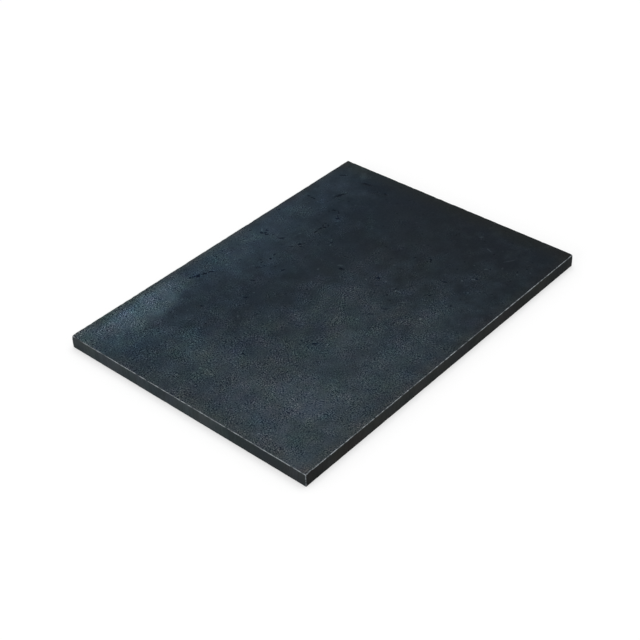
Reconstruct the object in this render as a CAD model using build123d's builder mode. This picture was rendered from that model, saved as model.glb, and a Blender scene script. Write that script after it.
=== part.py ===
# Rectangle of hot-rolled steel plate, cut square to a stock size.
# One solid: two flat rolled faces, four square-cut edges, and every arris lightly broken.
# The origin is at the middle of the lower rolled face, with +X along the length and +Z up.

import os

from build123d import *

# Driving dimensions, in millimetres.
inch = 25.4
plate_length = 11 * inch
plate_width = 8 * inch
plate_thickness = 3 / 8 * inch
corner_radius = 0.4  # upright corners, where two cuts meet
arris_radius = 0.35  # deburred edges round both rolled faces

with BuildPart() as steel_plate:
    with BuildSketch(Plane.XY) as cut_outline:
        Rectangle(plate_length, plate_width)
        fillet(cut_outline.vertices(), radius=corner_radius)
    extrude(amount=plate_thickness)
    rolled_faces = steel_plate.faces().filter_by(Axis.Z)
    fillet(rolled_faces.edges(), radius=arris_radius)

steel_plate.part.label = "steel_plate"

os.makedirs("parts", exist_ok=True)
export_step(steel_plate.part, "parts/steel_plate.step")
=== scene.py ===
import math

import bmesh
import bpy
from mathutils import Matrix, Vector, kdtree, noise


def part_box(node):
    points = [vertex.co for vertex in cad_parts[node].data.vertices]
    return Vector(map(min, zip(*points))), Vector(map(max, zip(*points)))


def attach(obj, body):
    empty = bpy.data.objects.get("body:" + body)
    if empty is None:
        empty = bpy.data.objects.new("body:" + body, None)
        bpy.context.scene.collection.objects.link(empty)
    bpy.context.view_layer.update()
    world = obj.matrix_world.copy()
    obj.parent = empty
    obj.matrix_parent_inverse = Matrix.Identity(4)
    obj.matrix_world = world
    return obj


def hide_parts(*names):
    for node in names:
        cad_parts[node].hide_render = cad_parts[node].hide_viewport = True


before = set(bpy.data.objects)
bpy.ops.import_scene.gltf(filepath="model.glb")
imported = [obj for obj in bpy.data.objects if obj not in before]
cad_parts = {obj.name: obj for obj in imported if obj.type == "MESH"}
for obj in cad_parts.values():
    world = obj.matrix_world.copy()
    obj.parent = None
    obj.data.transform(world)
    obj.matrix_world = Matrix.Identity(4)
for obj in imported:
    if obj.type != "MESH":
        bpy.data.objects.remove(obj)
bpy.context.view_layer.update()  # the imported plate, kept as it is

mm = 0.001
lowCorner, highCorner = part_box("steel_plate")
plateSize = highCorner - lowCorner
plateMiddle = (lowCorner + highCorner) / 2
halfLength = plateSize.x / 2
halfWidth = plateSize.y / 2
topHeight = highCorner.z
print("frame loaded, plate in mm:", [round(side / mm, 2) for side in plateSize])


def linearColor(hexText):
    levels = [int(hexText[i:i + 2], 16) / 255 for i in (1, 3, 5)]
    return tuple(c / 12.92 if c <= 0.04045 else ((c + 0.055) / 1.055) ** 2.4 for c in levels) + (1.0,)


def perMm(size):
    return 1 / (size * mm)  # texture scale that makes one feature about this many millimetres wide


def addNode(tree, kind, inputs=None, **settings):
    node = tree.nodes.new("ShaderNode" + kind)
    for key, value in settings.items():
        setattr(node, key, value)
    for key, value in (inputs or {}).items():
        if isinstance(value, bpy.types.NodeSocket):
            tree.links.new(value, node.inputs[key])
        else:
            node.inputs[key].default_value = value
    return node


def startMaterial(name):
    material = bpy.data.materials.new(name)
    material.use_nodes = True
    tree = material.node_tree
    tree.nodes.clear()
    shader = addNode(tree, "BsdfPrincipled")
    addNode(tree, "OutputMaterial", {"Surface": shader.outputs["BSDF"]})
    return material, tree, shader


def toneRamp(tree, tone, colors):
    ramp = addNode(tree, "ValToRGB", {"Fac": tone})
    stops = ramp.color_ramp.elements
    while len(stops) < len(colors):
        stops.new(0.5)
    for stop, (position, hexText) in zip(stops, colors):
        stop.position = position
        stop.color = linearColor(hexText)
    return ramp.outputs["Color"]


def stirred(tree, coords, size, reach):
    # coordinates pushed about by noise, so that what is drawn in them has no plain outline
    eddies = addNode(tree, "TexNoise", {"Vector": coords, "Scale": perMm(size), "Detail": 3.0,
                                        "Roughness": 0.6}).outputs["Color"]
    aside = addNode(tree, "VectorMath", {0: eddies, 1: (0.5, 0.5, 0.5)}, operation="SUBTRACT").outputs[0]
    return addNode(tree, "VectorMath", {0: aside, 1: (reach * mm, reach * mm, 0), 2: coords},
                   operation="MULTIPLY_ADD").outputs[0]


def ovalSpot(tree, coords, x, y, length, width, turn):
    # 1 in the middle of an oval, a half where it is length by width millimetres, 0 at twice that
    place = addNode(tree, "Mapping", {"Vector": coords, "Location": (x * mm, y * mm, 0),
                                      "Rotation": (0, 0, math.radians(turn)),
                                      "Scale": (length * mm, width * mm, 1)}, vector_type="TEXTURE")
    spot = addNode(tree, "TexGradient", {"Vector": place.outputs[0]}, gradient_type="SPHERICAL")
    return spot.outputs["Fac"]


def patchFade(tree, coords, oval, rim, full, outside, inside):
    # eases from one value outside an oval to another in its middle
    spot = ovalSpot(tree, coords, *oval)
    return addNode(tree, "MapRange", {"Value": spot, "From Min": rim, "From Max": full, "To Min": outside,
                                      "To Max": inside}, interpolation_type="SMOOTHSTEP").outputs[0]


def tinted(tree, color, hues, spread, amount):
    # a colour shifted a little by the colours of a noise
    shift = addNode(tree, "VectorMath", {0: hues, 1: (0.5, 0.5, 0.5)}, operation="SUBTRACT").outputs[0]
    shift = addNode(tree, "VectorMath", {0: shift, "Scale": amount}, operation="SCALE").outputs[0]
    tint = addNode(tree, "VectorMath", {0: shift, 1: spread, 2: (1, 1, 1)},
                   operation="MULTIPLY_ADD").outputs[0]
    return addNode(tree, "VectorMath", {0: color, 1: tint}, operation="MULTIPLY").outputs[0]


def strongest(tree, values):
    top = values[0]
    for value in values[1:]:
        top = addNode(tree, "Math", {0: top, 1: value}, operation="MAXIMUM").outputs[0]
    return top


# Mill scale on the upper face, with places and sizes in millimetres. A tone of 0 to 1 runs from near black
# to pale blue-grey.
scaleTop = {
    "greyTones": [
        (0.10, "#181e24"), (0.20, "#1e252b"), (0.33, "#262f36"),
        (0.50, "#313a40"), (0.62, "#394148"), (0.77, "#424b51"),
    ],
    "blueTones": [
        (0.17, "#19232c"), (0.27, "#202a33"), (0.45, "#2a3640"),
        (0.53, "#2f3c44"), (0.73, "#3b4a53"), (0.90, "#45545d"),
    ],
    "blueRange": (-7, 80),  # y where grey starts to turn blue, and where it is all blue
    "hueSize": 18,
    "hueSpread": (0.58, 0.30, 0.48),  # red, green and blue
    "cloudStir": (22, 19),  # size and reach of the eddies that break up the patches
    "tearStir": (3.0, 3.4),  # the same for the flakes
    "raggedSize": 1.6,
    "rimRaggedness": 8,
    "unevenSize": 11,  # of the areas with more or less grain
    "grainSizes": (0.85, 0.95),  # dark grains, light grains
    "speckSpacing": 9.5,
    "reliefSize": 1.4,
    "reliefDepth": 0.07,
    # browner where the scale thins towards an edge: axis, side, reach, tint at the edge
    "rims": [
        ("X", 1, 19, (1.28, 1.06, 0.82)),
        ("X", -1, 14, (1.08, 1.0, 0.93)),
        ("Y", 1, 9, (1.22, 1.0, 0.87)),
        ("Y", -1, 10, (1.16, 1.02, 0.90)),
    ],
    "middleTone": 0.32,
    # how much darker the tone runs towards the right end; on the upper face this is painted shade, a fall
    # of light from left to right
    "toneAndShadeFallToRight": 0.16,
    "clouds": [(60, 0.06), (12, 0.20)],  # size, spread of tone
    # weaker clouds: middle x, middle y, length, width, turn in degrees, share
    "calmPatches": [
        (34, 20, 56, 44, -50, 0.65),
        (106, 10, 60, 60, 0, 0.55),
        (-32, 30, 44, 34, 0, 0.45),
        (80, -36, 50, 44, 0, 0.35),
    ],
    # patches: middle x, middle y, length, width, turn in degrees, softness of the rim, change of tone
    "grainedPatches": [
        # the first patch, pale at the back-left corner, is painted reflection, the glow of a soft light;
        # the rest are tone
        (-85, 85, 79, 24, 2, 0.45, 0.22),
        (-88, 84, 46, 14, 0, 0.8, 0.05),
        (-102, 24, 27, 80, 8, 1.0, 0.08),
        (-91, -56, 57, 54, 20, 1.0, 0.19),
        (-110, -80, 19, 14, 0, 1.0, -0.08),
        (-126, -83, 41, 41, 0, 1.0, 0.07),
        (-30, -39, 54, 27, 20, 1.0, 0.15),
        (-8, -5, 46, 24, 10, 1.0, 0.12),
        (-38, -80, 82, 32, 0, 1.0, 0.13),
        (21, -64, 41, 30, 0, 1.0, 0.08),
        (-58, 53, 74, 46, -5, 0.8, -0.10),
        (-7, 27, 123, 32, 4, 1.0, -0.09),
        (-58, -59, 25, 21, 0, 1.0, -0.11),
        (-124, 49, 38, 40, 0, 1.0, -0.12),
        (-121, 0, 30, 19, 0, 1.0, -0.06),
        (124, 48, 33, 35, 0, 0.8, -0.04),
        (48, -27, 49, 16, 10, 1.0, -0.04),
        (115, -27, 96, 240, 0, 1.0, -0.08),
        (-134, -92, 14, 14, 0, 1.0, 0.09),
        (-131, -66, 26, 16, 0, 1.0, 0.05),
        (-91, -58, 24, 16, 0, 1.0, 0.05),
        (-134, 95, 14, 12, 0, 1.0, 0.10),
        (16, -12, 6, 5, 0, 1.0, 0.08),
        (-70, -84, 24, 14, 0, 1.0, -0.10),
        (-110, 82, 18, 10, 0, 1.0, -0.07),
        (-41, -50, 15, 12, 0, 1.0, -0.09),
        (-19, -55, 14, 11, 0, 1.0, 0.10),
        (-13, -15, 15, 12, 0, 1.0, -0.09),
        (45, -63, 15, 12, 0, 1.0, 0.09),
        (-115, -66, 30, 15, -30, 1.0, -0.08),
        (-134, 9, 15, 16, 0, 1.0, -0.06),
        (4, -60, 12, 10, 0, 1.0, -0.07),
        (-97, 19, 14, 14, 0, 1.0, 0.06),
        (-55, 74, 30, 12, -12, 0.35, -0.07),
    ],
    # patches without grain, in the same columns; the first, a long pale strip along the back edge, is
    # painted reflection of a soft light, the rest are tone
    "sheenAndTonePatches": [
        (41, 104, 316, 59, 0, 1.0, 0.17),
        (115, 93, 33, 27, 0, 1.0, 0.05),
        (7, 85, 68, 19, 0, 1.0, 0.04),
        (-38, 88, 30, 21, 0, 0.8, -0.08),
        (98, 72, 34, 24, 0, 1.0, 0.06),
        (128, 77, 9, 7, 0, 0.8, 0.14),
        (123, 56, 20, 12, -60, 0.8, -0.12),
        (107, 61, 18, 11, -50, 0.8, 0.11),
        (115, -72, 22, 7, -45, 0.9, 0.05),
    ],
    # more or less grain than the tone gives: middle x, middle y, length, width, turn in degrees, change
    "grainPatches": [
        (-126, -93, 34, 22, 0, -0.35),
        (-72, -98, 90, 16, 0, -0.25),
        (36, -89, 84, 30, 0, -0.50),
        (-106, 94, 76, 22, 0, 0.75),
        (6, 68, 140, 27, 0, -0.55),
        (5, 36, 72, 36, 0, -0.50),
        (-58, -62, 60, 30, 0, -0.28),
        (-34, -90, 30, 16, 0, -0.22),
        (12, -43, 24, 18, 0, -0.28),
        (35, 91, 80, 15, 0, -0.25),
    ],
    # torn or lifted scale: middle x, middle y, length, width, turn in degrees, depth (1 for most)
    "flakes": [
        (-51, 87, 9, 1.1, -10, 0.7),
        (-44, 86, 6, 1.5, -13, 1.2),
        (-41, 84, 3, 2.4, -40, 1.5),
        (-36, 82.5, 4, 1.4, -23, 1.1),
        (-31.5, 80.5, 5, 1.2, -35, 1.0),
        (-16, 91, 4, 1.5, -50, 0.9),
        (3.5, 88.5, 2.2, 1.2, -52, 0.7),
        (8, 85, 2.4, 1.2, -52, 0.7),
        (22, 94.5, 2, 1.4, -52, 0.9),
        (25, 86, 2, 1.7, -52, 1.3),
        (26.5, 84, 2.2, 1.6, -52, 1.3),
        (26, 81.5, 2.2, 1.5, -52, 1.2),
        (30, 85, 2, 1.6, -52, 1.2),
        (28.5, 71, 4.5, 1.9, -52, 1.0),
        (31, 55, 3, 1.7, -52, 1.3),
        (29, 52.5, 2.2, 1.3, -52, 1.1),
        (33.5, 53.5, 2.4, 1.1, -32, 0.9),
        (25, 57.5, 9, 0.9, -52, 0.7),
        (23, 64, 3, 1.3, -52, 0.55),
        (17, 59, 3, 1.5, -52, 0.5),
        (10.5, 60.5, 2.6, 1.3, -40, 1.0),
        (5.5, 59, 2, 1.3, -52, 1.0),
        (-1.5, 61, 1.8, 1.4, -45, 1.1),
        (-3.5, 56.5, 1.8, 1.4, -45, 1.1),
        (-7.5, 59, 7.5, 1.0, -52, 0.9),
        (4, 52.5, 3, 1.6, -52, 0.7),
        (0.5, 43, 2, 1.4, -52, 1.0),
        (-2.5, 33, 2.6, 1.3, -52, 0.6),
        (-21, 51, 4, 1.6, -52, 0.8),
        (-36.5, 55.5, 2.4, 1.5, -50, 0.65),
        (-38.5, 41.5, 2.6, 1.6, -50, 1.0),
        (-64, 58, 3.5, 2.4, -50, 0.7),
        (-75, 43, 2, 1.4, -50, 0.9),
        (-48, 23, 6.4, 1.3, 0, 0.7),
        (-81, 18, 3.4, 1.2, -52, 0.8),
        (-83, 1, 7, 1.3, -77, 0.8),
        (-81.5, -16.5, 3, 1.3, -55, 0.8),
        (-127, 10, 6, 1.3, -52, 0.5),
        (-6, 15.5, 3.6, 1.5, -52, 0.65),
        (-10, 12.5, 5.5, 1.0, -52, 0.8),
        (27, 12.5, 3.2, 2.0, -80, 1.3),
        (28, 37, 2, 1.2, -52, 0.7),
        (47, 38.5, 1.8, 1.4, 0, 1.1),
        (40, 20, 1.6, 1.3, 0, 0.9),
        (50, 56.5, 4.2, 1.2, 2, 1.0),
        (54.5, 56.5, 4, 1.3, -12, 1.0),
        (59, 57.5, 3.2, 1.3, 45, 1.0),
        (58.5, 55, 2.8, 1.3, -52, 1.1),
        (62, 55, 3.2, 1.3, 42, 0.9),
        (62.5, 58, 2.8, 1.2, -52, 0.9),
        (73, 55, 2.2, 2.0, 0, 1.4),
        (75, 57, 3.4, 1.2, 35, 0.9),
        (79, 59.5, 4, 1.2, 45, 0.8),
        (79.5, 64, 3.8, 1.2, -60, 1.0),
        (55, 97, 3, 1.5, -50, 0.9),
        (83, 91.5, 3.2, 1.1, -69, 0.9),
        (82.5, 87, 4.4, 1.2, -80, 0.9),
        (71, 80, 4, 1.2, 40, 0.6),
        (93.5, 69.5, 4.6, 1.2, -69, 0.7),
        (98, 74, 12, 2.4, -22, 0.85),
        (121, 90, 7, 1.8, -50, 0.8),
        (122, 68, 12, 2.2, -78, 0.75),
        (116.5, 56, 9, 3.4, -62, 0.5),
        (119.5, 49, 6, 2.6, -71, 0.7),
        (34.5, -14, 2.4, 1.9, -45, 1.5),
        (27.5, -19.5, 2.2, 1.2, -52, 0.8),
        (32.5, -20.5, 1.8, 1.2, -45, 0.65),
        (31.5, -30.5, 2, 1.5, -30, 1.1),
        (23, -30.5, 2.4, 1.2, -52, 0.8),
        (19.5, -35.5, 2.4, 1.2, -52, 0.8),
        (10.5, -39, 5, 1.4, -59, 1.1),
        (0.5, -36, 5.4, 1.1, -54, 0.8),
        (68.5, -18.5, 3, 1.3, -50, 0.7),
        (73, -29, 5, 1.4, 37, 1.0),
        (59, -52.5, 4.2, 1.5, -52, 1.0),
        (40.5, -52.5, 4, 1.3, -52, 1.0),
        (39.5, -71, 2.4, 1.2, -52, 0.8),
        (110, -25, 8, 3.5, -52, 0.5),
        (106, -59, 2, 1.4, -50, 0.8),
        (75, -67, 2.6, 1.6, -50, 1.1),
        (90, -67, 2.2, 1.4, 0, 0.9),
        (98, -84, 2, 1.4, 0, 0.9),
        (-46.5, -27, 2.8, 1.9, -55, 1.2),
        (-59, -40, 4.2, 2.0, -66, 0.6),
        (-70, -84, 3.3, 2.0, -52, 0.6),
    ],
    # soft dark smudges: middle x, middle y, length, width, turn in degrees, share
    "smudges": [
        (124, 56, 16, 9, -60, 0.18),
        (121, 69, 11, 3, -78, 0.16),
        (98, 74, 12, 3, -22, 0.15),
        (117, 49, 8, 4, -70, 0.12),
        (-100, 68, 12, 5, -20, 0.12),
        (-46, 80, 14, 5, -30, 0.10),
    ],
    # light flecks, painted highlights where lifted scale catches the light: x, y, length, width, turn in
    # degrees
    "glintFlecks": [
        (28, 88.5, 4.5, 0.9, 43),
        (-8, 87, 2.7, 1.2, -20),
        (-19, 78, 2.2, 1.9, 0),
        (10.5, 88, 2.8, 0.8, -52),
        (41.5, 64, 2.4, 1.0, -45),
        (-8.5, 62.5, 2.6, 1.0, -52),
        (-31, 41, 1.6, 1.4, 0),
        (-56.5, 31.5, 2, 1.8, 0),
        (-110, 12.5, 1.8, 1.6, 0),
        (44, 37.5, 1.9, 1.6, 40),
        (49, 41, 1.9, 1.5, 0),
        (16.5, 25, 2, 1.7, 0),
        (2, 19, 1.8, 1.0, -20),
        (29.5, 16, 4.2, 1.2, -52),
        (53, -13, 1.6, 1.4, 0),
        (34, -20.5, 1.6, 1.3, 0),
        (30, -32.5, 1.8, 1.2, -45),
        (-10, -32, 1.7, 1.4, 0),
        (23, -44, 2.8, 1.2, -52),
        (16, -64, 1.8, 1.3, 0),
        (27.5, -69.5, 2.2, 1.3, -40),
        (67, -60, 2.4, 1.6, 40),
        (73, -65, 2.2, 1.4, -50),
        (87, -56, 1.6, 1.4, 0),
        (88, -65, 2.7, 1.2, -50),
        (96, -73, 1.9, 1.4, 0),
        (106, -72, 9, 1.1, -33),
        (96, -85, 1.6, 1.4, 0),
        (103, -91, 1.6, 1.1, 30),
        (108, -53.5, 5, 1.0, -108),
        (118, -40, 3.3, 1.4, -50),
    ],
}

# Mill scale on the face that lies on the ground: plainer, with a few flakes of its own
scaleBelow = dict(
    scaleTop,
    middleTone=0.30,
    toneAndShadeFallToRight=-0.05,
    grainedPatches=[
        (76, 53, 95, 54, -15, 1.0, 0.12),
        (-82, -47, 110, 60, 10, 1.0, 0.10),
        (14, -83, 95, 27, 0, 1.0, 0.08),
        (-28, 40, 82, 49, 20, 1.0, -0.08),
        (103, -60, 68, 54, 0, 1.0, -0.07),
    ],
    sheenAndTonePatches=[(-96, 80, 110, 35, 8, 1.0, 0.10)],
    grainPatches=[(30, 40, 120, 60, 10, -0.4)],
    calmPatches=[(40, 20, 90, 50, 0, 0.4)],
    smudges=[(60, -20, 30, 9, 15, 0.12)],
    flakes=[
        (-99, 64, 8, 2.4, 15, 1.0),
        (-52, -16, 7, 2.2, 5, 0.9),
        (19, 29, 9.5, 3, -20, 1.0),
        (36, -53, 5.5, 2.2, 10, 0.8),
        (87, 16, 8, 2.4, 0, 0.9),
        (113, 77, 7, 3.3, 30, 0.9),
        (-121, -77, 7, 2.7, -10, 0.8),
    ],
    glintFlecks=[(-76, 27, 2.7, 1.4, 10), (52, 7, 2.2, 1.4, 0), (96, -29, 3, 1.2, 5), (-14, -64, 2.2, 1.4, 20)],
)


def scaleTones(tree, scale, here, cloudy):
    # the tone with the grained patches alone, then with the smooth ones too, which on the upper face hold a
    # painted reflection
    along = addNode(tree, "SeparateXYZ", {"Vector": here}).outputs["X"]
    # the tone runs darker towards the right end: on the upper face a painted shade
    tone = addNode(tree, "Math", {0: along, 1: -scale["toneAndShadeFallToRight"] / halfLength, 2: scale["middleTone"]},
                   operation="MULTIPLY_ADD").outputs[0]
    strength = 1.0
    for *oval, share in scale["calmPatches"]:
        fade = patchFade(tree, here, oval, 0.2, 0.8, 1.0, 1 - share)
        strength = addNode(tree, "Math", {0: fade, 1: strength}, operation="MULTIPLY").outputs[0]
    for size, spread in scale["clouds"]:
        clouds = addNode(tree, "TexNoise", {"Vector": here, "Scale": perMm(size), "Detail": 3.0,
                                            "Roughness": 0.6}).outputs["Fac"]
        lift = addNode(tree, "MapRange", {"Value": clouds, "From Min": 0.3, "From Max": 0.7,
                                          "To Min": -spread / 2, "To Max": spread / 2}).outputs[0]
        tone = addNode(tree, "Math", {0: lift, 1: strength, 2: tone}, operation="MULTIPLY_ADD").outputs[0]
    stages = []
    for patches in (scale["grainedPatches"], scale["sheenAndTonePatches"]):
        for *oval, softness, change in patches:
            fade = patchFade(tree, cloudy, oval, 0.5 - softness / 2, 0.5 + softness / 2, 0.0, change)
            tone = addNode(tree, "Math", {0: fade, 1: tone}, operation="ADD").outputs[0]
        stages.append(tone)
    return stages


def tornScale(tree, scale, here, torn, ragged):
    # nearness to a flake, then masks with ragged outlines of the flakes and of the flecks of painted
    # highlight
    depths = []
    for *oval, depth in scale["flakes"]:
        spot = ovalSpot(tree, torn, *oval)
        depths.append(addNode(tree, "Math", {0: spot, 1: depth}, operation="MULTIPLY").outputs[0])
    nearFlake = strongest(tree, depths)
    nearGlintFleck = strongest(tree, [ovalSpot(tree, here, *glintFleck) for glintFleck in scale["glintFlecks"]])
    masks = []
    for spot, fray, rim, full in ((nearFlake, 1.0, 0.32, 0.70), (nearGlintFleck, 0.6, 0.40, 0.60)):
        frayed = addNode(tree, "Math", {0: ragged, 1: fray, 2: -fray / 2},
                         operation="MULTIPLY_ADD").outputs[0]
        frayed = addNode(tree, "Math", {0: frayed, 1: spot}, operation="ADD").outputs[0]
        masks.append(addNode(tree, "MapRange", {"Value": frayed, "From Min": rim, "From Max": full},
                             interpolation_type="SMOOTHSTEP").outputs[0])
    return nearFlake, *masks


def grainShare(tree, scale, here, cloudy, tone, nearFlake):
    # how far the grain shows: more on pale scale, in areas, and round the flakes
    uneven = addNode(tree, "TexNoise", {"Vector": here, "Scale": perMm(scale["unevenSize"]), "Detail": 3.0,
                                        "Roughness": 0.6})
    uneven = addNode(tree, "SeparateXYZ", {"Vector": uneven.outputs["Color"]})
    paleness = addNode(tree, "Math", {0: uneven.outputs["X"], 1: 0.5, 2: -0.25},
                       operation="MULTIPLY_ADD").outputs[0]
    paleness = addNode(tree, "Math", {0: paleness, 1: tone}, operation="ADD").outputs[0]
    amount = addNode(tree, "MapRange", {"Value": paleness, "From Min": 0.13, "From Max": 0.37,
                                        "To Min": 0.10, "To Max": 1.0}).outputs[0]
    patchy = addNode(tree, "MapRange", {"Value": uneven.outputs["Y"], "From Min": 0.36, "From Max": 0.62,
                                        "To Min": 0.4, "To Max": 1.35}).outputs[0]
    amount = addNode(tree, "Math", {0: amount, 1: patchy}, operation="MULTIPLY").outputs[0]
    for *oval, change in scale["grainPatches"]:
        fade = patchFade(tree, cloudy, oval, 0.2, 0.8, 1.0, 1 + change)
        amount = addNode(tree, "Math", {0: amount, 1: fade}, operation="MULTIPLY").outputs[0]
    around = addNode(tree, "MapRange", {"Value": nearFlake, "From Min": 0.05, "From Max": 0.35,
                                        "To Max": 0.5}, interpolation_type="SMOOTHSTEP").outputs[0]
    return addNode(tree, "Math", {0: amount, 1: around}, operation="ADD").outputs[0]


def grainLift(tree, scale, here, amount):
    # grains, drawn coarser than they are so that the render shows them; the light ones stand out further
    dark, light = [
        addNode(tree, "TexVoronoi", {"Vector": here, "Scale": perMm(size)}, voronoi_dimensions="2D")
        for size in scale["grainSizes"]
    ]
    lift = addNode(tree, "Math", {0: dark.outputs["Distance"], 1: light.outputs["Distance"]},
                   operation="SUBTRACT").outputs[0]
    lift = addNode(tree, "Math", {0: lift, 1: amount}, operation="MULTIPLY").outputs[0]
    lift = addNode(tree, "Math", {0: lift, 1: 1.1, 2: 1.0}, operation="MULTIPLY_ADD").outputs[0]
    lift = addNode(tree, "Math", {0: lift, 1: 1.7}, operation="POWER").outputs[0]
    lift = addNode(tree, "Math", {0: lift, 1: 1.01}, operation="SUBTRACT").outputs[0]

    # single specks, dark or light
    specks = addNode(tree, "TexVoronoi", {"Vector": here, "Scale": perMm(scale["speckSpacing"])},
                     voronoi_dimensions="2D")
    dot = addNode(tree, "MapRange", {"Value": specks.outputs["Distance"], "From Min": 0.05,
                                     "From Max": 0.10, "To Min": 1.0, "To Max": 0.0}).outputs[0]
    kind = addNode(tree, "SeparateXYZ", {"Vector": specks.outputs["Color"]}).outputs["X"]
    kind = addNode(tree, "MapRange", {"Value": kind, "To Min": -0.5, "To Max": 0.5}).outputs[0]
    return addNode(tree, "Math", {0: dot, 1: kind, 2: lift}, operation="MULTIPLY_ADD").outputs[0]


def scaleColor(tree, scale, here, cloudy, tone, ragged):
    # bluer towards the back edge, greyer towards the front, browner near any edge
    across = addNode(tree, "SeparateXYZ", {"Vector": cloudy}).outputs["Y"]
    greyEnd, blueEnd = scale["blueRange"]
    blue = addNode(tree, "MapRange", {"Value": across, "From Min": greyEnd * mm, "From Max": blueEnd * mm},
                   interpolation_type="SMOOTHSTEP").outputs[0]
    color = addNode(tree, "Mix", {0: blue, 6: toneRamp(tree, tone, scale["greyTones"]),
                                  7: toneRamp(tree, tone, scale["blueTones"])}, data_type="RGBA").outputs[2]
    apart = addNode(tree, "SeparateXYZ", {"Vector": here})
    rimStart = scale["rimRaggedness"] / 2
    for axis, side, reach, tint in scale["rims"]:
        half = halfLength if axis == "X" else halfWidth
        inside = addNode(tree, "Math", {0: apart.outputs[axis], 1: -side, 2: half},
                         operation="MULTIPLY_ADD").outputs[0]
        inside = addNode(tree, "Math", {0: ragged, 1: scale["rimRaggedness"] * mm, 2: inside},
                         operation="MULTIPLY_ADD").outputs[0]
        rim = addNode(tree, "MapRange", {"Value": inside, "From Min": rimStart * mm,
                                         "From Max": (reach + rimStart) * mm, "To Min": 1.0, "To Max": 0.0},
                      interpolation_type="SMOOTHSTEP").outputs[0]
        rimTint = addNode(tree, "Mix", {0: rim, 6: (1, 1, 1, 1), 7: (*tint, 1)},
                          data_type="RGBA").outputs[2]
        color = addNode(tree, "VectorMath", {0: color, 1: rimTint}, operation="MULTIPLY").outputs[0]
    return color


def millScale(name, scale):
    # Hot-rolled mild steel left in its mill scale: a hard blue-black iron-oxide skin, half metallic. The
    # eye sees cloudy blue-grey patches, a fine dark and light grain, torn flakes, and a browner rim. On the
    # upper face light is painted in as well: a painted reflection at the back, painted shade towards the
    # right end, and painted highlights in the light flecks.
    material, tree, shader = startMaterial(name)
    here = addNode(tree, "TexCoord").outputs["Object"]
    cloudy = stirred(tree, here, *scale["cloudStir"])
    torn = stirred(tree, here, *scale["tearStir"])
    ragged = addNode(tree, "TexNoise", {"Vector": here, "Scale": perMm(scale["raggedSize"]), "Detail": 3.0,
                                        "Roughness": 0.7}).outputs["Fac"]
    grainedTone, toneWithSheen = scaleTones(tree, scale, here, cloudy)
    nearFlake, flake, glintFleck = tornScale(tree, scale, here, torn, ragged)
    grainAmount = grainShare(tree, scale, here, cloudy, grainedTone, nearFlake)
    lift = grainLift(tree, scale, here, grainAmount)

    # faint teal and violet clouds, weaker where there is little grain
    color = scaleColor(tree, scale, here, cloudy, toneWithSheen, ragged)
    hues = addNode(tree, "TexNoise", {"Vector": here, "Scale": perMm(scale["hueSize"]), "Detail": 3.0,
                                      "Roughness": 0.65}).outputs["Color"]
    hueAmount = addNode(tree, "Math", {0: grainAmount, 1: 0.6, 2: 0.4}, operation="MULTIPLY_ADD").outputs[0]
    color = tinted(tree, color, hues, scale["hueSpread"], hueAmount)

    # light and dark take the blue of the scale less far than its grey
    for mask, change in (
        (lift, (1.14, 1.0, 0.87)),
        (flake, (-0.88, -0.80, -0.68)),
        # the light flecks brighten the colour as painted highlights
        (glintFleck, (1.1, 1.0, 0.85)),
    ):
        shade = addNode(tree, "VectorMath", {0: mask, 1: change, 2: (1, 1, 1)},
                        operation="MULTIPLY_ADD").outputs[0]
        color = addNode(tree, "VectorMath", {0: color, 1: shade}, operation="MULTIPLY").outputs[0]
    for *oval, share in scale["smudges"]:
        fade = patchFade(tree, torn, oval, 0.2, 0.7, 1.0, 1 - share)
        color = addNode(tree, "VectorMath", {0: color, "Scale": fade}, operation="SCALE").outputs[0]
    tree.links.new(color, shader.inputs["Base Color"])

    # satin with a fine relief, pitted at the flakes
    relief = addNode(tree, "TexNoise", {"Vector": here, "Scale": perMm(scale["reliefSize"]), "Detail": 2.0,
                                        "Roughness": 0.6}).outputs["Fac"]
    rough = addNode(tree, "MapRange", {"Value": relief, "From Min": 0.3, "From Max": 0.7, "To Min": 0.5,
                                       "To Max": 0.64}).outputs[0]
    tree.links.new(rough, shader.inputs["Roughness"])
    height = addNode(tree, "Math", {0: relief, 1: grainAmount}, operation="MULTIPLY").outputs[0]
    height = addNode(tree, "Math", {0: flake, 1: -1.0, 2: height}, operation="MULTIPLY_ADD").outputs[0]
    bump = addNode(tree, "Bump", {"Height": height, "Strength": 0.6, "Distance": scale["reliefDepth"] * mm})
    tree.links.new(bump.outputs[0], shader.inputs["Normal"])
    shader.inputs["Metallic"].default_value = 0.5
    shader.inputs["Specular IOR Level"].default_value = 0.0
    return material


cutEdge = {
    # the short ends take a lighter copy of the same oxide than the long sides: painted light, for the light
    # from the left that falls more on the left end
    "short": [(0.35, "#2f3436"), (0.65, "#3e474a")],
    "long": [(0.25, "#222424"), (0.65, "#343737")],
    "rust": "#2e2721",
    "rusted": [(-102, -102, 18, 11, 0.5)],  # a breath of rust: x, y, length along X, length along Y, share
    "hueSpread": (0.45, 0.2, 0.4),
    "cloudSize": 16,
    "dragPitch": 1.2,  # mm between the upright lines that the cut leaves
    "dragLength": 12.0,
    "dragDepth": 0.07,
    # darker or lighter stretches: x, y, length along X, length along Y, change of tone
    "stretches": [
        (-140, -80, 27, 44, -0.22),
        (-135, -102, 19, 19, -0.10),
        (-140, 98, 27, 13, -0.14),
        (-55, -102, 80, 27, 0.08),
        (60, -102, 44, 27, -0.14),
        (120, -102, 60, 27, -0.14),
    ],
}


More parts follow.
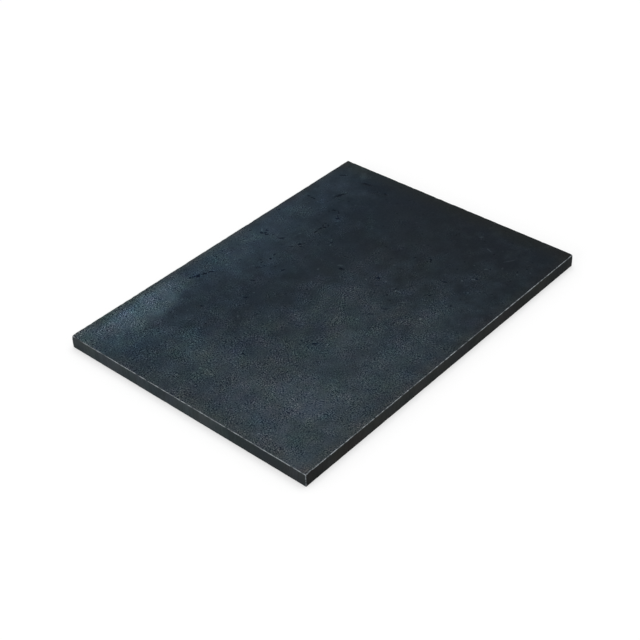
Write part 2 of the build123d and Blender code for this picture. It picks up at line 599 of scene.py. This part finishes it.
def cutEdgeOxide(name, colors):
    # Thermally cut edge of mild steel: a thin even black oxide with fine upright drag lines.
    material, tree, shader = startMaterial(name)
    here = addNode(tree, "TexCoord").outputs["Object"]
    pitch = perMm(cutEdge["dragPitch"])
    length = perMm(cutEdge["dragLength"])
    drawn = addNode(tree, "Mapping", {"Vector": here, "Scale": (pitch, pitch, length)}).outputs[0]
    lines = addNode(tree, "TexNoise", {"Vector": drawn, "Scale": 1.0, "Detail": 2.0}).outputs["Fac"]
    clouds = addNode(tree, "TexNoise", {"Vector": here, "Scale": perMm(cutEdge["cloudSize"]),
                                        "Detail": 4.0})
    tone = addNode(tree, "Math", {0: lines, 1: 0.4}, operation="MULTIPLY").outputs[0]
    tone = addNode(tree, "Math", {0: clouds.outputs["Fac"], 1: 0.6, 2: tone},
                   operation="MULTIPLY_ADD").outputs[0]
    for *oval, change in cutEdge["stretches"]:
        spot = ovalSpot(tree, here, *oval, 0)
        tone = addNode(tree, "Math", {0: spot, 1: change, 2: tone}, operation="MULTIPLY_ADD").outputs[0]
    color = toneRamp(tree, tone, colors)
    for *oval, share in cutEdge["rusted"]:
        spot = ovalSpot(tree, here, *oval, 0)
        spot = addNode(tree, "Math", {0: spot, 1: share}, operation="MULTIPLY").outputs[0]
        color = addNode(tree, "Mix", {0: spot, 6: color, 7: linearColor(cutEdge["rust"])},
                        data_type="RGBA").outputs[2]
    color = tinted(tree, color, clouds.outputs["Color"], cutEdge["hueSpread"], 1.0)
    tree.links.new(color, shader.inputs["Base Color"])
    bump = addNode(tree, "Bump", {"Height": lines, "Strength": 0.5, "Distance": cutEdge["dragDepth"] * mm})
    tree.links.new(bump.outputs[0], shader.inputs["Normal"])
    shader.inputs["Roughness"].default_value = 0.65
    shader.inputs["Specular IOR Level"].default_value = 0.03
    return material


arrisWear = {
    "dull": "#2b3136",
    "bare": "#888d91",
    "breakSize": 4.0,
    "uprightBreaks": 2.5,  # times as many breaks up the corners
    "uprightShare": 0.85,  # the upright corners are rubbed less
    "uprightStart": (1.6, 0.7),  # mm below the upper face where that is so in full, and where it starts
    "gaps": [(-139, 99, 13, 0.95)],  # places that kept their scale: x, y, reach, share
    "chips": [(-139.3, 100.4, 3.0)],  # places knocked bright: x, y, reach
}


def rubbedArris(name):
    # Bare mild steel along the arrises, where handling has rubbed the scale off: a thin bright broken line.
    material, tree, shader = startMaterial(name)
    here = addNode(tree, "TexCoord").outputs["Object"]
    drawn = addNode(tree, "Mapping", {"Vector": here, "Scale": (1, 1, arrisWear["uprightBreaks"])})
    breaks = addNode(tree, "TexNoise", {"Vector": drawn.outputs[0], "Scale": perMm(arrisWear["breakSize"]),
                                        "Detail": 3.0, "Roughness": 0.65}).outputs["Fac"]
    bare = addNode(tree, "MapRange", {"Value": breaks, "From Min": 0.34, "From Max": 0.60}).outputs[0]
    for x, y, reach, share in arrisWear["gaps"]:
        spot = ovalSpot(tree, here, x, y, reach, reach, 0)
        kept = addNode(tree, "MapRange", {"Value": spot, "From Min": 0.3, "From Max": 0.6, "To Min": 1.0,
                                          "To Max": 1 - share}).outputs[0]
        bare = addNode(tree, "Math", {0: bare, 1: kept}, operation="MULTIPLY").outputs[0]
    chips = [ovalSpot(tree, here, x, y, reach, reach, 0) for x, y, reach in arrisWear["chips"]]
    bare = strongest(tree, [bare, *chips])
    height = addNode(tree, "SeparateXYZ", {"Vector": here}).outputs["Z"]
    low, high = [topHeight - depth * mm for depth in arrisWear["uprightStart"]]
    kept = addNode(tree, "MapRange", {"Value": height, "From Min": low, "From Max": high,
                                      "To Min": arrisWear["uprightShare"]}).outputs[0]
    bare = addNode(tree, "Math", {0: bare, 1: kept}, operation="MULTIPLY").outputs[0]
    color = addNode(tree, "Mix", {0: bare, 6: linearColor(arrisWear["dull"]),
                                  7: linearColor(arrisWear["bare"])}, data_type="RGBA")
    tree.links.new(color.outputs[2], shader.inputs["Base Color"])
    tree.links.new(bare, shader.inputs["Metallic"])
    shader.inputs["Roughness"].default_value = 0.5
    shader.inputs["Specular IOR Level"].default_value = 0.15
    return material


endX = halfLength / mm  # places of the ends and the long sides, in mm like those below
sideY = halfWidth / mm
plateForm = {
    "gridStep": 1.3,  # mm between the cuts across the rolled faces
    "edgeRows": 6,
    "cornerRadius": 0.4,
    "arrisRadius": 0.35,
    "arrisRows": 3,
    "waveLength": 50.0,
    "waveDepth": 0.07,
    "flakeDepth": 0.13,
    "chatterLength": 3.2,  # small unevenness along the arrises
    "chatterDepth": 0.10,
    "chatterDip": 0.22,  # further down on the upper arrises
    # knocks on the upper arrises and corners: x, y, reach, depth, 1 if they go down as well as inwards
    "knocks": [
        (-endX, sideY, 4.0, 0.48, 1),
        (endX, -sideY, 3.0, 0.40, 1),
        (-135.2, -sideY, 3.4, 0.50, 0),
        (-128.6, -sideY, 2.4, 0.19, 1),
        (-endX, -41.0, 3.3, 0.22, 1),
        (-endX, 51.0, 2.7, 0.16, 1),
        (-30.0, -sideY, 3.5, 0.25, 1),
        (66.0, -sideY, 3.0, 0.22, 1),
        (endX, 16.0, 3.5, 0.25, 1),
        (27.0, sideY, 3.3, 0.22, 1),
        (-88.0, sideY, 3.0, 0.19, 1),
    ],
}
upperFace, lowerFace, shortEdge, longEdge, arris = range(5)  # finishes, in the order of the plate's slots


def cutBlank(bm):
    # a box with a fine grid all over, its upright corners and then its arrises rounded
    place = Matrix.Translation(plateMiddle) @ Matrix.Diagonal((*plateSize, 1))
    bmesh.ops.create_cube(bm, size=1.0, matrix=place)
    step = plateForm["gridStep"] * mm
    rows = (round(plateSize.x / step), round(plateSize.y / step), plateForm["edgeRows"])
    for axis, parts in enumerate(rows):
        along = [e for e in bm.edges if abs((e.verts[1].co - e.verts[0].co).normalized()[axis]) > 0.99]
        bmesh.ops.subdivide_edges(bm, edges=along, cuts=parts - 1, use_grid_fill=True)
    for radius, upright in ((plateForm["cornerRadius"], True), (plateForm["arrisRadius"], False)):
        bm.normal_update()
        sharp = [e for e in bm.edges if e.calc_face_angle() > 1.0]
        chosen = [e for e in sharp if (abs(e.verts[0].co.z - e.verts[1].co.z) > step / 10) == upright]
        bmesh.ops.bevel(bm, geom=chosen, offset=radius * mm, offset_type="OFFSET", affect="EDGES",
                        segments=plateForm["arrisRows"], profile=0.5, material=-1)
    bm.normal_update()


def finishOf(face):
    squareOn = 0.98  # a face lies on a side when it looks this straight along an axis
    n = face.normal
    if abs(n.z) > squareOn:
        return upperFace if n.z > 0 else lowerFace
    if abs(n.x) > squareOn:
        return shortEdge
    if abs(n.y) > squareOn:
        return longEdge
    upright = abs(n.z) < 0.1
    above = face.calc_center_median().z > plateMiddle.z
    return arris if upright or above else longEdge  # the lower arrises keep their oxide


def unevenMoves(bm):
    # rolled faces that are never quite flat, and arrises that are a little uneven
    arrisReach = plateForm["arrisRadius"] * mm * 1.01
    moves = []
    for v in bm.verts:
        height = v.co.z / topHeight  # a share, so that nothing sinks at the foot
        wave = max(0.0, noise.noise(v.co / (plateForm["waveLength"] * mm)))
        moves.append((v.index, Vector((0, 0, -plateForm["waveDepth"] * wave * height))))
        away = v.co - plateMiddle
        inwards = Vector([
            math.copysign(half - abs(part) < arrisReach, -part) for part, half in zip(away, plateSize / 2)
        ])
        if inwards.length > 1:
            chatter = max(0.0, noise.noise(v.co / (plateForm["chatterLength"] * mm)))
            dip = Vector((0, 0, -plateForm["chatterDip"] * height))
            moves.append((v.index, (inwards * plateForm["chatterDepth"] + dip) * chatter))
    return moves


def flakeMoves(finder):
    moves = []
    for x, y, length, width, turn, depth in scaleTop["flakes"]:
        middle = Vector((x * mm, y * mm, topHeight))
        for place, index, gap in finder.find_range(middle, length * mm):
            if place.z > plateMiddle.z:
                away = (place - middle).xy / mm
                away.rotate(Matrix.Rotation(math.radians(-turn), 2))
                pit = max(0.0, 1 - math.hypot(away.x / length, away.y / width))
                moves.append((index, Vector((0, 0, -plateForm["flakeDepth"] * depth * pit))))
    return moves


def knockMoves(finder):
    moves = []
    for x, y, reach, depth, down in plateForm["knocks"]:
        atEnd = abs(x) > endX - 1
        atSide = abs(y) > sideY - 1
        inwards = Vector((-math.copysign(atEnd, x), -math.copysign(atSide, y), -down)).normalized()
        for place, index, gap in finder.find_range(Vector((x * mm, y * mm, topHeight)), reach * mm):
            moves.append((index, inwards * depth * (1 - gap / (reach * mm)) ** 2))
    return moves


def plateMesh():
    bm = bmesh.new()
    cutBlank(bm)
    for face in bm.faces:
        face.smooth = True
        face.material_index = finishOf(face)
    bm.verts.ensure_lookup_table()
    finder = kdtree.KDTree(len(bm.verts))
    for v in bm.verts:
        finder.insert(v.co, v.index)
    finder.balance()
    for index, move in unevenMoves(bm) + flakeMoves(finder) + knockMoves(finder):
        bm.verts[index].co += move * mm
    mesh = bpy.data.meshes.new("plate_dressed")
    bm.to_mesh(mesh)
    bm.free()
    return mesh


plate = bpy.data.objects.new("plate_dressed", plateMesh())
bpy.context.collection.objects.link(plate)
for material in (
    millScale("mill_scale_top", scaleTop),
    millScale("mill_scale_underside", scaleBelow),
    cutEdgeOxide("cut_edge_oxide_short_painted_lighter", cutEdge["short"]),
    cutEdgeOxide("cut_edge_oxide_long", cutEdge["long"]),
    rubbedArris("rubbed_steel_arris"),
):
    plate.data.materials.append(material)
# keeps the shading of the arrises narrow
flatFaces = plate.modifiers.new("flat_face_normals", "WEIGHTED_NORMAL")
flatFaces.keep_sharp = True
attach(plate, "root")
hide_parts("steel_plate")
print("plate dressed:", len(plate.data.polygons), "faces")


# White floor under soft studio light
studio = {
    "floorSide": 24.0,
    "floorColor": "#c8c8c8",
    "floorGlow": 0.48,  # brings the lit floor up to white where it is seen
    "farGlow": 0.78,  # the same far from the lamps
    "glowRange": (0.8, 4.0),  # m from the plate, over which the one turns into the other
    "worldLevel": 0.47,
    "lamps": [
        # name, direction towards the lamp in degrees (turn from +X, height), distance, size, watts
        ("overheadSoftbox", 15, 80, 3.4, 2.75, 56.0),
        ("sideSoftbox", 180, 18, 2.2, 1.38, 12.3),
    ],
}


def seenRay(tree):
    # 1 for what the camera sees, straight or by reflection, and 0 for the light that falls on things
    path = addNode(tree, "LightPath")
    seen = addNode(tree, "Math", {0: path.outputs["Is Camera Ray"], 1: path.outputs["Is Glossy Ray"]},
                   operation="ADD").outputs[0]
    return addNode(tree, "Math", {0: seen, 1: path.outputs["Is Transmission Ray"]},
                   operation="ADD").outputs[0]


def studioFloor():
    bm = bmesh.new()
    bmesh.ops.create_grid(bm, x_segments=1, y_segments=1, size=studio["floorSide"] / 2)
    mesh = bpy.data.meshes.new("studio_floor")
    bm.to_mesh(mesh)
    bm.free()
    material, tree, shader = startMaterial("matt_white_paper")
    shader.inputs["Base Color"].default_value = linearColor(studio["floorColor"])
    shader.inputs["Roughness"].default_value = 1.0
    shader.inputs["Specular IOR Level"].default_value = 0.0
    here = addNode(tree, "TexCoord").outputs["Object"]
    away = addNode(tree, "VectorMath", {0: here}, operation="LENGTH").outputs["Value"]
    near, far = studio["glowRange"]
    glow = addNode(tree, "MapRange", {"Value": away, "From Min": near, "From Max": far,
                                      "To Min": studio["floorGlow"], "To Max": studio["farGlow"]},
                   interpolation_type="SMOOTHSTEP").outputs[0]
    glow = addNode(tree, "Math", {0: seenRay(tree), 1: glow}, operation="MULTIPLY").outputs[0]
    shader.inputs["Emission Color"].default_value = (1, 1, 1, 1)
    tree.links.new(glow, shader.inputs["Emission Strength"])
    mesh.materials.append(material)
    floor = bpy.data.objects.new("studio_floor", mesh)
    bpy.context.collection.objects.link(floor)


def studioLight():
    world = bpy.data.worlds.new("soft_studio")
    world.use_nodes = True
    tree = world.node_tree
    level = addNode(tree, "MapRange", {"Value": seenRay(tree), "To Min": studio["worldLevel"],
                                       "To Max": 1.0})
    tree.nodes["Background"].inputs["Color"].default_value = (1, 1, 1, 1)
    tree.links.new(level.outputs[0], tree.nodes["Background"].inputs["Strength"])
    bpy.context.scene.world = world
    for name, turn, rise, distance, side, watts in studio["lamps"]:
        lamp = bpy.data.lights.new(name, "AREA")
        lamp.size = side
        lamp.energy = watts
        holder = bpy.data.objects.new(name, lamp)
        turnAngle = math.radians(turn)
        riseAngle = math.radians(rise)
        toLamp = Vector((math.cos(turnAngle) * math.cos(riseAngle),
                         math.sin(turnAngle) * math.cos(riseAngle),
                         math.sin(riseAngle)))
        holder.location = plateMiddle + toLamp * distance
        holder.rotation_euler = toLamp.to_track_quat("Z", "Y").to_euler()
        bpy.context.collection.objects.link(holder)


photoCamera = {
    "turn": -47.72,  # degrees round the plate; 0 looks along the width
    "rise": 37.76,
    "roll": -2.13,
    "lens": 74.6,
    "distance": 892.2,  # mm from the middle of the plate
    "aside": (6.85, 13.77),  # mm that the middle stands right of and above the picture's middle
}


def placeCamera():
    data = bpy.data.cameras.new("photo_camera")
    data.lens = photoCamera["lens"]
    data.clip_start = 0.01
    camera = bpy.data.objects.new("photo_camera", data)
    aside = photoCamera["aside"]
    camera.matrix_world = (
        Matrix.Translation(plateMiddle)
        @ Matrix.Rotation(math.radians(photoCamera["turn"]), 4, "Z")
        @ Matrix.Rotation(math.radians(90 - photoCamera["rise"]), 4, "X")
        @ Matrix.Rotation(math.radians(photoCamera["roll"]), 4, "Z")
        @ Matrix.Translation((-aside[0] * mm, -aside[1] * mm, photoCamera["distance"] * mm))
    )
    bpy.context.collection.objects.link(camera)
    bpy.context.scene.camera = camera


studioFloor()
studioLight()
placeCamera()
bpy.context.scene.view_settings.view_transform = "Standard"
print("stage, light and camera set")
